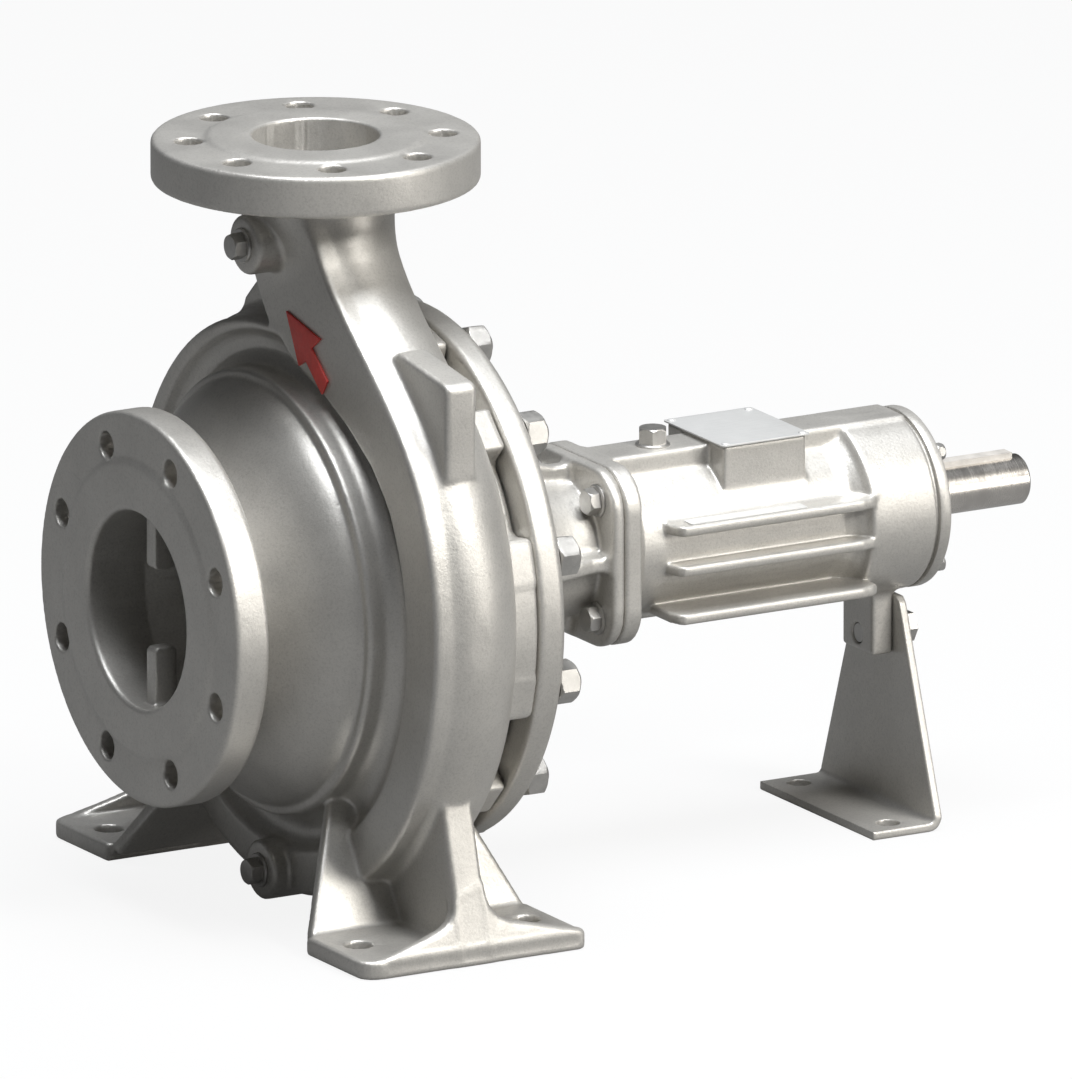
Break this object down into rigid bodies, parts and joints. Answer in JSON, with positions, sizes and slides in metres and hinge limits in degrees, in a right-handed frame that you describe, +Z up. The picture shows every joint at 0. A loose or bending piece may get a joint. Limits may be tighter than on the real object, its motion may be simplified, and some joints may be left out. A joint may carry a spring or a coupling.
{
  "type": "end-suction centrifugal pump",
  "caption": "Thermic fluid pump: cast volute with swan-neck discharge, flanged suction, finned bearing housing on a lantern, and a keyed bare shaft end",
  "frame": {"origin": "on the base plane, at the centre of the casing feet's hole pattern, straight below the crossing of the shaft axis and the discharge axis", "axes": "+X along the shaft towards the drive end, +Z up along the discharge, +Y completes the right-handed frame"},
  "size_m": [0.64, 0.4063, 0.49],
  "materials": {
    "cast_casing": "blasted sand casting, fine grain",
    "cast_lantern": "blasted sand casting, fine grain",
    "cast_housing": "blasted sand casting, fine grain",
    "plate_steel": "satin",
    "bolting": "dull plated steel",
    "machined": "turned",
    "shaft_steel": "ground",
    "bearing_steel": "polished",
    "bronze": "turned",
    "gasket": "graphite sheet",
    "seal_face": "lapped",
    "lip_rubber": "matt",
    "plate": "bare satin plate",
    "arrow_red": "red paint"
  },
  "bodies": {
    "frame": {"volute_casing": "cast_casing", "casing_wear_ring": "bronze", "casing_gasket": "gasket", "casing_cover": "cast_casing", "throttle_bush": "bronze", "lantern": "cast_lantern", "cover_studs": "bolting", "cover_nuts": "bolting", "lantern_bolts": "bolting", "seal_cover": "machined", "seal_seat": "seal_face", "bearing_housing": "cast_housing", "front_bearing_cover": "cast_housing", "rear_bearing_cover": "cast_housing", "rear_cover_bolts": "bolting", "front_lip_seal": "lip_rubber", "rear_lip_seal": "lip_rubber", "front_outer_race": "bearing_steel", "rear_outer_race": "bearing_steel", "oil_plug": "bolting", "gauge_plug": "bolting", "drain_plug": "bolting", "name_plate": "plate", "name_plate_rivets": "plate", "fin_plate": "plate", "flow_arrow": "arrow_red", "support_foot": "plate_steel", "support_bolt": "bolting", "support_nut": "bolting"},
    "rotor": {"pump_shaft": "shaft_steel", "impeller": "cast_casing", "impeller_key": "shaft_steel", "impeller_nut": "machined", "shaft_sleeve": "shaft_steel", "seal_head": "seal_face", "seal_spring": "machined", "front_inner_race": "bearing_steel", "rear_inner_race": "bearing_steel", "bearing_lock_nut": "machined", "coupling_key": "shaft_steel", "deflector": "lip_rubber"},
    "front_ball_set": {"front_cage": "bronze", "front_balls": "bearing_steel"},
    "rear_ball_set": {"rear_cage": "bronze", "rear_balls": "bearing_steel"}
  },
  "joints": [
    {"name": "rotor_spin", "type": "hinge", "parent": "frame", "child": "rotor", "pos_m": [0, 0, 0.2], "axis": [1, 0, 0], "continuous": true},
    {"name": "front_cage_spin", "type": "hinge", "parent": "frame", "child": "front_ball_set", "pos_m": [0, 0, 0.2], "axis": [1, 0, 0], "continuous": true},
    {"name": "rear_cage_spin", "type": "hinge", "parent": "frame", "child": "rear_ball_set", "pos_m": [0, 0, 0.2], "axis": [1, 0, 0], "continuous": true}
  ],
  "couplings": [
    {"joint": "front_cage_spin", "follows": "rotor_spin", "ratio": 0.4},
    {"joint": "rear_cage_spin", "follows": "rotor_spin", "ratio": 0.4}
  ]
}
